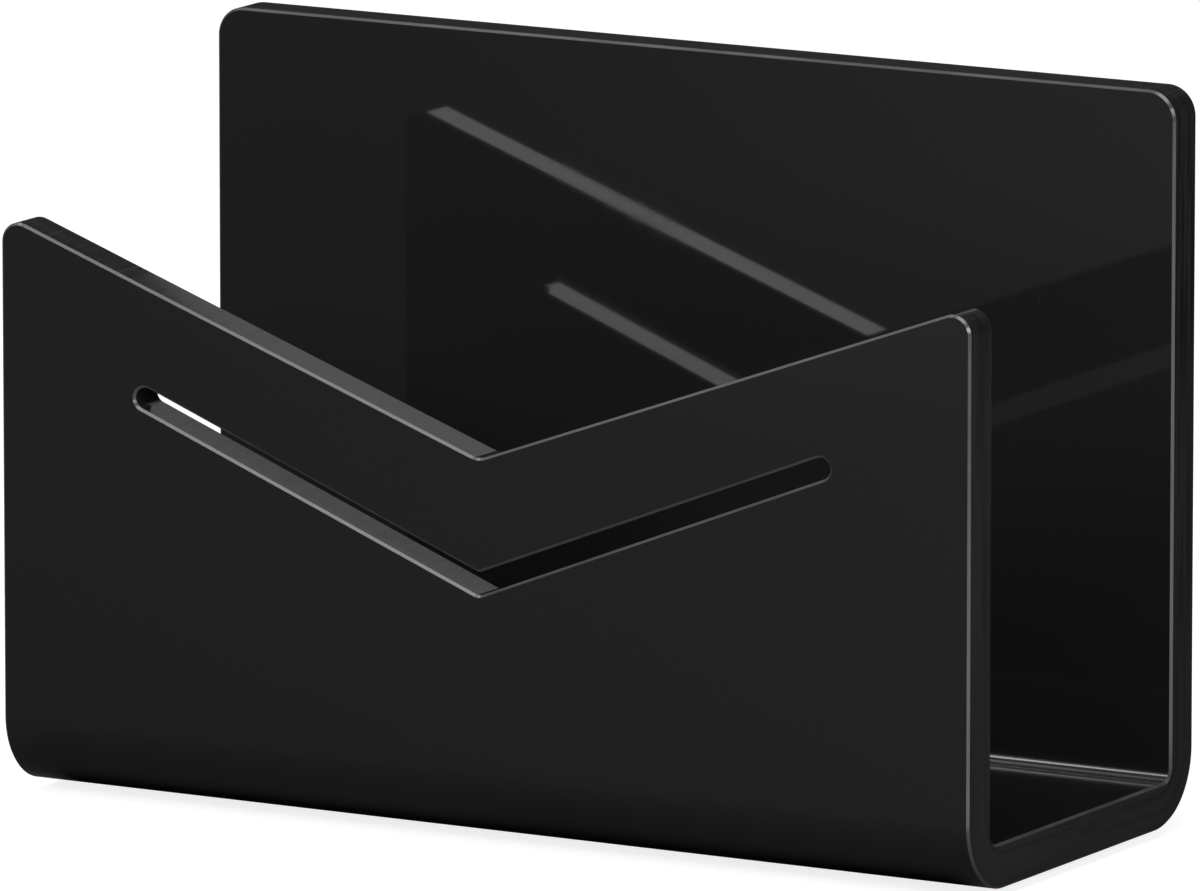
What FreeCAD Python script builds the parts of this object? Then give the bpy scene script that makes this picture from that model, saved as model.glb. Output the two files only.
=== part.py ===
import FreeCAD, Part
import math
import os

import Sketcher

# A desk holder for letters: one thick acrylic sheet, bent into a U, on four stick-on feet.
# The letters stand between a low front wall, whose rim is a wide V, and a taller back wall.
# A narrow slot of the same V shape runs through the front wall, below the rim.
# X runs along the walls, the front faces -Y, and Z rises from the surface under the feet.

# Driving dimensions in millimetres. Heights on the sheet are measured from its underside.
SIZES = {
    "holder_width": 180.0,
    "holder_depth": 76.0,
    "back_wall_height": 120.5,
    "sheet_thickness": 7.5,
    "outer_bend_radius": 12.2,
    "inner_bend_radius": 2.2,
    "front_corner_height": 95.7,
    "notch_bottom_height": 63.1,
    "notch_bottom_radius": 3.4,
    "front_corner_radius": 3.3,
    "back_corner_radius": 4.9,
    "slot_middle_height": 42.65,
    "slot_end_reach": 64.6,
    "slot_rise": 24.7,
    "slot_width": 3.6,
    "slot_lower_radius": 1.8,
    "slot_upper_radius": 1.4,
    "edge_bevel": 0.5,
    "foot_diameter": 8.0,
    "foot_height": 1.35,
    "foot_edge_radius": 0.9,
    "foot_end_inset": 16.0,
    "foot_face_inset": 23.0,
    "adhesive_diameter": 7.2,
    "adhesive_thickness": 0.15,
    "cut_overrun": 5.0,
}

# Where each foot stands: its name, and its side of the middle along X and along Y.
FOOT_PLACES = (
    ("front_left", -1, -1),
    ("front_right", 1, -1),
    ("back_left", -1, 1),
    ("back_right", 1, 1),
)

SHEET_NAME = "Sizes"
PARTS_FOLDER = "parts"

# Points that lie closer than this are taken as one point when an edge is looked up.
MATCH_TOLERANCE = 0.001

# Faces whose normals agree less than this meet at a sharp edge, and others run on smoothly.
SHARP_COSINE_SHARE = 0.9

# A sketch counts the points of its lines and arcs from 1, and its own two axes from -1 down.
# Its origin is where its horizontal axis starts.
START, END, CENTRE = range(1, 4)
HORIZONTAL_AXIS, VERTICAL_AXIS = range(-1, -3, -1)
ORIGIN = (HORIZONTAL_AXIS, START)

# Directions of an arc's ends, counterclockwise from +X.
NORTH = math.pi / 2
WEST = math.pi
SOUTH = math.pi * 3 / 2
FULL_TURN = math.pi * 2

UP = FreeCAD.Vector(0, 0, 1)


def new_sheet(doc):
    """Write the driving dimensions into a sheet, one named cell each."""
    sheet = doc.addObject("Spreadsheet::Sheet", SHEET_NAME)
    for row, (name, value) in enumerate(SIZES.items(), start=1):
        sheet.set(f"A{row}", name)
        sheet.set(f"B{row}", str(value))
        sheet.setAlias(f"B{row}", name)
    doc.recompute()
    return sheet


def cell(name):
    """Name a cell of the sheet as an expression does."""
    return f"{SHEET_NAME}.{name}"


def worked_out(item, expression):
    """Give the present value of an expression, as a plain number."""
    return float(item.evalExpression(expression))


def new_body(doc, label):
    """Start a body that carries one sub-part."""
    body = doc.addObject("PartDesign::Body", label)
    body.Label = label
    return body


def new_sketch(body, name, role):
    """Start a sketch on one of the body's own origin planes."""
    plane = next(item for item in body.Origin.OriginFeatures if item.Role == role)
    sketch = body.newObject("Sketcher::SketchObject", name)
    sketch.AttachmentSupport = [(plane, "")]
    sketch.MapMode = "FlatFace"
    return sketch


def line(sketch, start, end):
    """Draw a line between two (x, y) points and give its number."""
    first = FreeCAD.Vector(*start, 0)
    last = FreeCAD.Vector(*end, 0)
    return sketch.addGeometry(Part.LineSegment(first, last))


def arc(sketch, centre, radius, start, end):
    """Draw an arc, counterclockwise from one direction to the other, and give its number."""
    circle = Part.Circle(FreeCAD.Vector(*centre, 0), UP, radius)
    return sketch.addGeometry(Part.ArcOfCircle(circle, start, end))


def tie(sketch, kind, *where):
    """Add a constraint that holds no size."""
    sketch.addConstraint(Sketcher.Constraint(kind, *where))


def drive(sketch, name, expression, kind, *where):
    """Add a constraint whose size follows an expression on the sheet."""
    value = worked_out(sketch, expression)
    number = sketch.addConstraint(Sketcher.Constraint(kind, *where, value))
    sketch.renameConstraint(number, name)
    sketch.setExpression(f"Constraints.{name}", expression)


def draw_wall_section(body):
    """Draw the sheet's bent section: front wall, floor and back wall, with its four bend arcs."""
    sketch = new_sketch(body, "WallSection", "YZ_Plane")
    half = worked_out(sketch, f"{cell('holder_depth')} / 2")
    wall = worked_out(sketch, cell("sheet_thickness"))
    outer = worked_out(sketch, cell("outer_bend_radius"))
    inner = worked_out(sketch, cell("inner_bend_radius"))
    low = worked_out(sketch, cell("front_corner_height"))
    high = worked_out(sketch, cell("back_wall_height"))
    inside = half - wall
    curl = wall + inner

    front_face = line(sketch, (-half, low), (-half, outer))
    front_bend = arc(sketch, (outer - half, outer), outer, WEST, SOUTH)
    underside = line(sketch, (outer - half, 0), (half - outer, 0))
    back_bend = arc(sketch, (half - outer, outer), outer, SOUTH, FULL_TURN)
    back_face = line(sketch, (half, outer), (half, high))
    back_rim = line(sketch, (half, high), (inside, high))
    back_inner = line(sketch, (inside, high), (inside, curl))
    back_curl = arc(sketch, (half - curl, curl), inner, SOUTH, FULL_TURN)
    floor_face = line(sketch, (half - curl, wall), (curl - half, wall))
    front_curl = arc(sketch, (curl - half, curl), inner, WEST, SOUTH)
    front_inner = line(sketch, (-inside, curl), (-inside, low))
    front_rim = line(sketch, (-inside, low), (-half, low))

    smooth_joints = (
        (front_face, END, front_bend, START),
        (front_bend, END, underside, START),
        (underside, END, back_bend, START),
        (back_bend, END, back_face, START),
        (back_inner, END, back_curl, END),
        (back_curl, START, floor_face, START),
        (floor_face, END, front_curl, END),
        (front_curl, START, front_inner, START),
    )
    for joint in smooth_joints:
        tie(sketch, "Tangent", *joint)
    corners = (
        (back_face, END, back_rim, START),
        (back_rim, END, back_inner, START),
        (front_inner, END, front_rim, START),
        (front_rim, END, front_face, START),
    )
    for corner in corners:
        tie(sketch, "Coincident", *corner)
    for upright in (front_face, back_face, back_inner, front_inner):
        tie(sketch, "Vertical", upright)
    for level in (underside, back_rim, floor_face, front_rim):
        tie(sketch, "Horizontal", level)
    tie(sketch, "PointOnObject", underside, START, HORIZONTAL_AXIS)
    tie(sketch, "Equal", front_bend, back_bend)
    tie(sketch, "Equal", front_curl, back_curl)

    half_depth = f"{cell('holder_depth')} / 2"
    thickness = cell("sheet_thickness")
    drive(sketch, "front_reach", half_depth, "DistanceX", front_face, START, *ORIGIN)
    drive(sketch, "back_reach", half_depth, "DistanceX", *ORIGIN, back_face, START)
    drive(sketch, "front_wall", thickness, "DistanceX", front_face, START, front_inner, END)
    drive(sketch, "back_wall", thickness, "DistanceX", back_inner, START, back_face, END)
    drive(sketch, "floor", thickness, "DistanceY", underside, START, floor_face, START)
    drive(sketch, "front_rise", cell("front_corner_height"), "DistanceY", *ORIGIN, front_face, START)
    drive(sketch, "back_rise", cell("back_wall_height"), "DistanceY", *ORIGIN, back_face, END)
    drive(sketch, "outer_bend", cell("outer_bend_radius"), "Radius", front_bend)
    drive(sketch, "inner_bend", cell("inner_bend_radius"), "Radius", front_curl)
    return sketch


def draw_notch(body):
    """Draw the triangle that leaves the front wall's V-shaped rim."""
    sketch = new_sketch(body, "NotchOutline", "XZ_Plane")
    reach_rule = f"{cell('holder_width')} / 2 + {cell('cut_overrun')}"
    climb = f"({cell('front_corner_height')} - {cell('notch_bottom_height')})"
    top_rule = f"{cell('notch_bottom_height')} + {climb} * ({reach_rule}) / ({cell('holder_width')} / 2)"
    reach = worked_out(sketch, reach_rule)
    top = worked_out(sketch, top_rule)
    bottom = worked_out(sketch, cell("notch_bottom_height"))

    left_slope = line(sketch, (-reach, top), (0, bottom))
    right_slope = line(sketch, (0, bottom), (reach, top))
    lid = line(sketch, (reach, top), (-reach, top))

    tie(sketch, "Coincident", left_slope, END, right_slope, START)
    tie(sketch, "Coincident", right_slope, END, lid, START)
    tie(sketch, "Coincident", lid, END, left_slope, START)
    tie(sketch, "PointOnObject", left_slope, END, VERTICAL_AXIS)
    tie(sketch, "Symmetric", lid, START, lid, END, VERTICAL_AXIS)
    drive(sketch, "bottom_height", cell("notch_bottom_height"), "DistanceY", *ORIGIN, left_slope, END)
    drive(sketch, "side_reach", reach_rule, "DistanceX", *ORIGIN, lid, START)
    drive(sketch, "top_height", top_rule, "DistanceY", *ORIGIN, lid, START)
    return sketch


def draw_slot(body):
    """Draw the V-shaped slot: two arms of one width that meet in the middle, with round ends."""
    sketch = new_sketch(body, "SlotOutline", "XZ_Plane")
    radius_rule = f"{cell('slot_width')} / 2"
    run_rule = f"({cell('slot_end_reach')} - {radius_rule})"
    end_rule = f"{cell('slot_middle_height')} + {cell('slot_rise')}"
    half_height = f"{radius_rule} * sqrt({run_rule}^2 + {cell('slot_rise')}^2) / {run_rule}"
    lower_rule = f"{cell('slot_middle_height')} - {half_height}"
    upper_rule = f"{cell('slot_middle_height')} + {half_height}"
    radius = worked_out(sketch, radius_rule)
    run = worked_out(sketch, run_rule)
    end_height = worked_out(sketch, end_rule)
    lower = worked_out(sketch, lower_rule)
    upper = worked_out(sketch, upper_rule)
    slope = math.atan(worked_out(sketch, f"{cell('slot_rise')} / {run_rule}"))

    right_down = slope - NORTH
    right_up = slope + NORTH
    left_up = NORTH - slope
    left_down = SOUTH - slope
    right_end = arc(sketch, (run, end_height), radius, right_down, right_up)
    left_end = arc(sketch, (-run, end_height), radius, left_up, left_down)

    def on_end(side, angle):
        """Give the point of a round end in a given direction."""
        return side * run + radius * math.cos(angle), end_height + radius * math.sin(angle)

    lower_left = line(sketch, on_end(-1, left_down), (0, lower))
    lower_right = line(sketch, (0, lower), on_end(1, right_down))
    upper_right = line(sketch, on_end(1, right_up), (0, upper))
    upper_left = line(sketch, (0, upper), on_end(-1, left_up))

    tie(sketch, "Tangent", lower_right, END, right_end, START)
    tie(sketch, "Tangent", right_end, END, upper_right, START)
    tie(sketch, "Tangent", upper_left, END, left_end, START)
    tie(sketch, "Tangent", left_end, END, lower_left, START)
    tie(sketch, "Coincident", lower_left, END, lower_right, START)
    tie(sketch, "Coincident", upper_right, END, upper_left, START)
    tie(sketch, "PointOnObject", lower_left, END, VERTICAL_AXIS)
    tie(sketch, "PointOnObject", upper_right, END, VERTICAL_AXIS)
    tie(sketch, "Equal", right_end, left_end)
    tie(sketch, "Symmetric", right_end, CENTRE, left_end, CENTRE, VERTICAL_AXIS)
    drive(sketch, "end_radius", radius_rule, "Radius", right_end)
    drive(sketch, "end_run", run_rule, "DistanceX", *ORIGIN, right_end, CENTRE)
    drive(sketch, "end_height", end_rule, "DistanceY", *ORIGIN, right_end, CENTRE)
    drive(sketch, "lower_height", lower_rule, "DistanceY", *ORIGIN, lower_left, END)
    drive(sketch, "upper_height", upper_rule, "DistanceY", *ORIGIN, upper_right, END)
    return sketch


def pad_sketch(body, sketch, name, length_rule):
    """Give a sketch its thickness, the same on both sides of its plane."""
    pad = body.newObject("PartDesign::Pad", name)
    pad.Profile = sketch
    pad.Midplane = True
    pad.setExpression("Length", length_rule)
    body.Document.recompute()
    return pad


def cut_front_wall(body, sketch, name):
    """Cut a sketch on the XZ plane through the front wall, and no further than past its face."""
    before = body.Shape.Volume
    pocket = body.newObject("PartDesign::Pocket", name)
    pocket.Profile = sketch
    pocket.Reversed = True
    pocket.setExpression("Length", f"{cell('holder_depth')} / 2 + {cell('cut_overrun')}")
    body.Document.recompute()
    if body.Shape.Volume >= before:
        raise RuntimeError(f"{name} cuts nothing")
    return pocket


def corner_edges(feature, side, places):
    """Name the edges that run through a wall's thickness at the given (x, z) places.

    The side is -1 for the front wall and 1 for the back wall.
    """
    names = []
    for number, edge in enumerate(feature.Shape.Edges, start=1):
        first = edge.Vertexes[0].Point
        last = edge.Vertexes[-1].Point
        middle = (first + last) / 2
        across = math.hypot(first.x - last.x, first.z - last.z) < MATCH_TOLERANCE
        if not across or middle.y * side <= 0:
            continue
        if any(math.hypot(middle.x - x, middle.z - z) < MATCH_TOLERANCE for x, z in places):
            names.append(f"Edge{number}")
    if len(names) != len(places):
        raise RuntimeError(f"{feature.Label}: {len(names)} corner edges for {len(places)} places")
    return names


def round_corners(body, name, radius_name, side, places):
    """Round the corners of a wall's outline at the given (x, z) places."""
    base = body.Tip
    fillet = body.newObject("PartDesign::Fillet", name)
    fillet.Base = (base, corner_edges(base, side, places))
    fillet.setExpression("Radius", cell(radius_name))
    body.Document.recompute()
    return fillet


def sharp_edges(shape):
    """Name the edges where two faces meet at an angle, as cut edges do and bends don't."""
    names = []
    for number, edge in enumerate(shape.Edges, start=1):
        middle = edge.valueAt((edge.FirstParameter + edge.LastParameter) / 2)
        normals = []
        for face in shape.ancestorsOfType(edge, Part.Face):
            place = face.Surface.parameter(middle)
            normals.append(face.normalAt(*place))
        if len(normals) == 2 and normals[0].dot(normals[1]) < SHARP_COSINE_SHARE:
            names.append(f"Edge{number}")
    return names


def bevel_cut_edges(body, name, size_name):
    """Take a fine bevel off every cut edge of the sheet, as its polishing leaves it."""
    base = body.Tip
    bevel = body.newObject("PartDesign::Chamfer", name)
    bevel.Base = (base, sharp_edges(base.Shape))
    bevel.setExpression("Size", cell(size_name))
    body.Document.recompute()
    return bevel


def build_holder_body(doc):
    """Build the bent sheet: section, V rim, slot, rounded corners and bevelled edges."""
    body = new_body(doc, "holder_body")
    pad_sketch(body, draw_wall_section(body), "Walls", cell("holder_width"))
    cut_front_wall(body, draw_notch(body), "Notch")
    slot = draw_slot(body)
    cut_front_wall(body, slot, "Slot")

    half_width = worked_out(body, f"{cell('holder_width')} / 2")
    notch_bottom = worked_out(body, cell("notch_bottom_height"))
    front_top = worked_out(body, cell("front_corner_height"))
    back_top = worked_out(body, cell("back_wall_height"))
    slot_lower = worked_out(slot, "Constraints.lower_height")
    slot_upper = worked_out(slot, "Constraints.upper_height")
    front = -1
    back = 1
    front_corners = ((-half_width, front_top), (half_width, front_top))
    back_corners = ((-half_width, back_top), (half_width, back_top))
    round_corners(body, "FrontCorners", "front_corner_radius", front, front_corners)
    round_corners(body, "NotchBottom", "notch_bottom_radius", front, ((0, notch_bottom),))
    round_corners(body, "SlotLowerCorner", "slot_lower_radius", front, ((0, slot_lower),))
    round_corners(body, "SlotUpperCorner", "slot_upper_radius", front, ((0, slot_upper),))
    round_corners(body, "BackCorners", "back_corner_radius", back, back_corners)
    bevel_cut_edges(body, "EdgeBevel", "edge_bevel")

    body.setExpression("Placement.Base.z", f"{cell('foot_height')} + {cell('adhesive_thickness')}")
    return body


def foot_centre_rules(side_x, side_y):
    """Say where a foot's centre stands, as expressions for X and Y."""
    along = f"{side_x} * ({cell('holder_width')} / 2 - {cell('foot_end_inset')})"
    across = f"{side_y} * ({cell('holder_depth')} / 2 - {cell('foot_face_inset')})"
    return along, across


def build_foot(doc, place, side_x, side_y):
    """Build one soft clear foot: a low disc whose lower edge is well rounded."""
    body = new_body(doc, f"foot_{place}")
    sketch = new_sketch(body, f"FootOutline_{place}", "XY_Plane")
    radius = worked_out(sketch, f"{cell('foot_diameter')} / 2")
    circle = sketch.addGeometry(Part.Circle(FreeCAD.Vector(0, 0, 0), UP, radius))
    tie(sketch, "Coincident", circle, CENTRE, *ORIGIN)
    drive(sketch, "diameter", cell("foot_diameter"), "Diameter", circle)

    pad = body.newObject("PartDesign::Pad", f"FootDisc_{place}")
    pad.Profile = sketch
    pad.setExpression("Length", cell("foot_height"))
    doc.recompute()

    rims = enumerate(pad.Shape.Edges, start=1)
    lower_rim = [f"Edge{number}" for number, edge in rims if edge.BoundBox.ZMax < MATCH_TOLERANCE]
    fillet = body.newObject("PartDesign::Fillet", f"FootRounding_{place}")
    fillet.Base = (pad, lower_rim)
    fillet.setExpression("Radius", cell("foot_edge_radius"))

    along, across = foot_centre_rules(side_x, side_y)
    body.setExpression("Placement.Base.x", along)
    body.setExpression("Placement.Base.y", across)
    return body


def build_adhesive(doc, place, side_x, side_y):
    """Build the thin adhesive disc that holds one foot to the sheet's underside."""
    disc = doc.addObject("Part::Cylinder", f"adhesive_{place}")
    disc.Label = f"adhesive_{place}"
    disc.setExpression("Radius", f"{cell('adhesive_diameter')} / 2")
    disc.setExpression("Height", cell("adhesive_thickness"))
    along, across = foot_centre_rules(side_x, side_y)
    disc.setExpression("Placement.Base.x", along)
    disc.setExpression("Placement.Base.y", across)
    disc.setExpression("Placement.Base.z", cell("foot_height"))
    return disc


def check_document(doc, parts):
    """Stop if any object failed to build, or if a sub-part has no sound shape."""
    for item in doc.Objects:
        if "Invalid" in item.State or "Error" in item.State:
            raise RuntimeError(f"{item.Label} failed to build")
    for part in parts:
        if part.Shape.isNull() or not part.Shape.isValid():
            raise RuntimeError(f"{part.Label} has no valid shape")


def export_parts(parts):
    """Write each sub-part to a file of its own, and print its size."""
    os.makedirs(PARTS_FOLDER, exist_ok=True)
    for part in parts:
        box = part.Shape.optimalBoundingBox(True, False)
        part.Shape.exportStep(f"{PARTS_FOLDER}/{part.Label}.step")
        size = f"{box.XLength:.2f} x {box.YLength:.2f} x {box.ZLength:.2f} mm"
        print(f"{part.Label}: {size}, from z {box.ZMin:.2f}, {part.Shape.Volume:.1f} mm3")


def main():
    """Build the holder, check it and write its sub-parts."""
    doc = FreeCAD.newDocument("letter_holder")
    new_sheet(doc)
    parts = [build_holder_body(doc)]
    for place in FOOT_PLACES:
        parts.append(build_foot(doc, *place))
        parts.append(build_adhesive(doc, *place))
    doc.recompute()
    check_document(doc, parts)
    export_parts(parts)


main()
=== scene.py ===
"""A desk holder for letters, bent from one gloss black acrylic sheet, on four clear stick-on feet.

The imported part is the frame: it says where each piece lies. This script makes the pieces that are
seen, their finishes and a plain studio. All sizes are in metres.
"""

import logging
import math
from collections.abc import Callable, Mapping, Sequence
from dataclasses import dataclass, fields
from enum import Enum
from typing import Any

import bmesh
import bpy
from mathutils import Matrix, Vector

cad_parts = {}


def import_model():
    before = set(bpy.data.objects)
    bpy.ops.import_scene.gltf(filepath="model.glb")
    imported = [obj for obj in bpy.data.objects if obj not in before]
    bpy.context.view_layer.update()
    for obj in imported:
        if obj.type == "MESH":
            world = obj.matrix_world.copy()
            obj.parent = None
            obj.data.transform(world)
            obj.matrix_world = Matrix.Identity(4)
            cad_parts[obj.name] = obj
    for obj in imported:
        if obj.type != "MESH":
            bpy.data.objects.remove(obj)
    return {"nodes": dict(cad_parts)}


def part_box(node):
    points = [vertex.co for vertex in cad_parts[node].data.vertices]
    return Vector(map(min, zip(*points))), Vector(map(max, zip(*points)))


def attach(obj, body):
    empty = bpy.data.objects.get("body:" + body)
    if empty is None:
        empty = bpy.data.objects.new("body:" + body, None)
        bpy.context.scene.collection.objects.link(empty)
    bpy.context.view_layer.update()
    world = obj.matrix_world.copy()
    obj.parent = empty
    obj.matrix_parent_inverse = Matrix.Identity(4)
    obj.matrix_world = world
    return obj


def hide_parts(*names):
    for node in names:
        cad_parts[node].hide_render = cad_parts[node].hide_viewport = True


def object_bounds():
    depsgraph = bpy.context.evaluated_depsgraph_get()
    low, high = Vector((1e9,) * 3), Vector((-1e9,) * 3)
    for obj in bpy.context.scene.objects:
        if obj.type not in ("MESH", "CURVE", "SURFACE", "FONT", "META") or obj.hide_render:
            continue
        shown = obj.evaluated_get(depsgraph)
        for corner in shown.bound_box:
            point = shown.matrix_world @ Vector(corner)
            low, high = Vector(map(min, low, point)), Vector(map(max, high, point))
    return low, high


frame: dict[str, Any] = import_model()
CAD_BOX: tuple[Vector, Vector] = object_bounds()

LOG = logging.getLogger("letter_holder")

Colour = tuple[float, float, float]
Place = tuple[float, float, float]
Span = tuple[float, float]

MM = 0.001
MICRON = 0.000001
QUARTER_TURN = math.pi / 2
VIEW_AZIMUTH = math.radians(29.87)
ORIGIN: Place = (0.0, 0.0, 0.0)
BLACK: Colour = (0.0, 0.0, 0.0)
ACRYLIC_REFRACTION = 1.49
BODY = "root"
SHEET_NODE = "holder_body"
WELD_DISTANCE = 0.02 * MM
CUT_MARK = "cut_edge"
SOCKET_KINDS = (
    (int, "NodeSocketInt"),
    (float, "NodeSocketFloat"),
    (tuple, "NodeSocketVector"),
    (bpy.types.Material, "NodeSocketMaterial"),
)


class Slot(Enum):
    """The material slots of the part's record."""

    BLACK_ACRYLIC = "black_acrylic"
    CLEAR_FOOT = "clear_foot"
    ADHESIVE = "adhesive"


class Wall(Enum):
    """The sheet's two upright walls, each with its side of the middle along Y."""

    FRONT = -1
    BACK = 1


class Stand(Enum):
    """Where each foot stands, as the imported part's nodes name it."""

    FRONT_LEFT = "front_left"
    FRONT_RIGHT = "front_right"
    BACK_LEFT = "back_left"
    BACK_RIGHT = "back_right"


class Recipe:
    """Adds nodes to a node tree and wires them up, so that a tree reads as a list of steps."""

    def __init__(self, tree: bpy.types.NodeTree) -> None:
        """Start on a geometry or shader node tree."""
        self.tree = tree
        self.given: Any = {}

    def accept(self, usual: Mapping[str, Any]) -> None:
        """Give the tree its named inputs.

        Args:
            usual: Each input's name, with its usual value, which also says what kind it is.
        """
        for label, value in usual.items():
            kind = next(kind for sort, kind in SOCKET_KINDS if isinstance(value, sort))
            socket = self.tree.interface.new_socket(label, in_out="INPUT", socket_type=kind)
            socket.default_value = value
        self.given = self.tree.nodes.new("NodeGroupInput").outputs

    def wire(self, node: bpy.types.Node, key: str | int, value: Any) -> None:
        """Set one input of a node, or link it.

        Args:
            node: The node that has the input.
            key: The input's name or number.
            value: A plain value, a socket, or a Quantity.
        """
        if isinstance(key, int):
            socket = node.inputs[key]
        else:
            socket = next(item for item in node.inputs if item.name == key and item.enabled)
        source = value.socket if isinstance(value, Quantity) else value
        if isinstance(source, bpy.types.NodeSocket):
            self.tree.links.new(source, socket)
        else:
            socket.default_value = source

    def add(
        self, kind: str, inputs: Mapping[str | int, Any] | None = None, **settings: Any
    ) -> bpy.types.Node:
        """Add one node.

        Args:
            kind: Blender's name of the node.
            inputs: What goes into each input.
            **settings: The node's own properties.

        Returns:
            The new node.
        """
        node = self.tree.nodes.new(kind)
        for name, value in settings.items():
            setattr(node, name, value)
        for key, value in (inputs or {}).items():
            self.wire(node, key, value)
        return node

    def out(
        self, kind: str, inputs: Mapping[str | int, Any] | None = None, **settings: Any
    ) -> bpy.types.NodeSocket:
        """Add one node, as add does, and give its first output."""
        return self.add(kind, inputs, **settings).outputs[0]

    def quantity(self, value: Any) -> "Quantity":
        """Take a socket or a plain value as a number to reckon with."""
        return value if isinstance(value, Quantity) else Quantity(self, value)

    def size(self, label: str) -> "Quantity":
        """Give one of the tree's inputs as a number."""
        return self.quantity(self.given[label])

    def point(self, x: Any, y: Any, z: Any = 0.0) -> bpy.types.NodeSocket:
        """Join three numbers into a vector."""
        return self.out("ShaderNodeCombineXYZ", {"X": x, "Y": y, "Z": z})

    def split(self, vector: bpy.types.NodeSocket) -> list["Quantity"]:
        """Take a vector apart into three numbers."""
        return [self.quantity(part) for part in self.add("ShaderNodeSeparateXYZ", {0: vector}).outputs]

    def noise(self, **inputs: Any) -> "Quantity":
        """Add a noise texture, which has one measure if W is given and three if not."""
        measures = "1D" if "W" in inputs else "3D"
        return self.quantity(self.out("ShaderNodeTexNoise", inputs, noise_dimensions=measures))

    def ramp(
        self, value: Any, low: float, high: float, to_low: float = 0.0, to_high: float = 1.0
    ) -> "Quantity":
        """Map a number smoothly from one range to another, and hold it at the ends.

        Args:
            value: The number to map.
            low: Where the source range starts.
            high: Where it ends.
            to_low: The result at the start.
            to_high: The result at the end.

        Returns:
            The mapped number.
        """
        inputs = {"Value": value, "From Min": low, "From Max": high}
        inputs |= {"To Min": to_low, "To Max": to_high}
        return self.quantity(self.out("ShaderNodeMapRange", inputs, interpolation_type="SMOOTHSTEP"))

    def blend(self, share: Any, first: Colour, second: Colour) -> bpy.types.NodeSocket:
        """Mix two plain colours by a share from 0 to 1.

        Args:
            share: How much of the second colour there is.
            first: The first colour.
            second: The second colour.

        Returns:
            The mixed colour.
        """
        inputs = {0: share, 6: (*first, 1.0), 7: (*second, 1.0)}
        return self.add("ShaderNodeMix", inputs, data_type="RGBA").outputs[2]


class Quantity:
    """A number inside a node tree, with the arithmetic that a rule needs."""

    def __init__(self, recipe: Recipe, socket: Any) -> None:
        """Wrap the socket, or the plain value, that gives the number."""
        self.recipe = recipe
        self.socket = socket

    def reckon(self, operation: str, *others: Any) -> "Quantity":
        """Add a Math node that starts with this number, and takes the others after it."""
        inputs = dict(enumerate((self, *others)))
        return Quantity(self.recipe, self.recipe.out("ShaderNodeMath", inputs, operation=operation))

    def __add__(self, other: Any) -> "Quantity":
        """Add a number."""
        return self.reckon("ADD", other)

    def __sub__(self, other: Any) -> "Quantity":
        """Take a number away."""
        return self.reckon("SUBTRACT", other)

    def __mul__(self, other: Any) -> "Quantity":
        """Multiply by a number."""
        return self.reckon("MULTIPLY", other)

    def __truediv__(self, other: Any) -> "Quantity":
        """Divide by a number."""
        return self.reckon("DIVIDE", other)

    def __neg__(self) -> "Quantity":
        """Turn the sign round."""
        return self.reckon("MULTIPLY", -1.0)

    def __abs__(self) -> "Quantity":
        """Drop the sign."""
        return self.reckon("ABSOLUTE")

    def inverse(self) -> "Quantity":
        """Divide 1 by the number."""
        return self.reckon("POWER", -1.0)

    def above(self, level: float) -> "Quantity":
        """Give 1 where the number is over a level, and 0 elsewhere."""
        return self.reckon("GREATER_THAN", level)

    def at_least(self, floor: Any) -> "Quantity":
        """Raise the number to a floor."""
        return self.reckon("MAXIMUM", floor)

    def at_most(self, ceiling: Any) -> "Quantity":
        """Lower the number to a ceiling."""
        return self.reckon("MINIMUM", ceiling)


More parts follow.
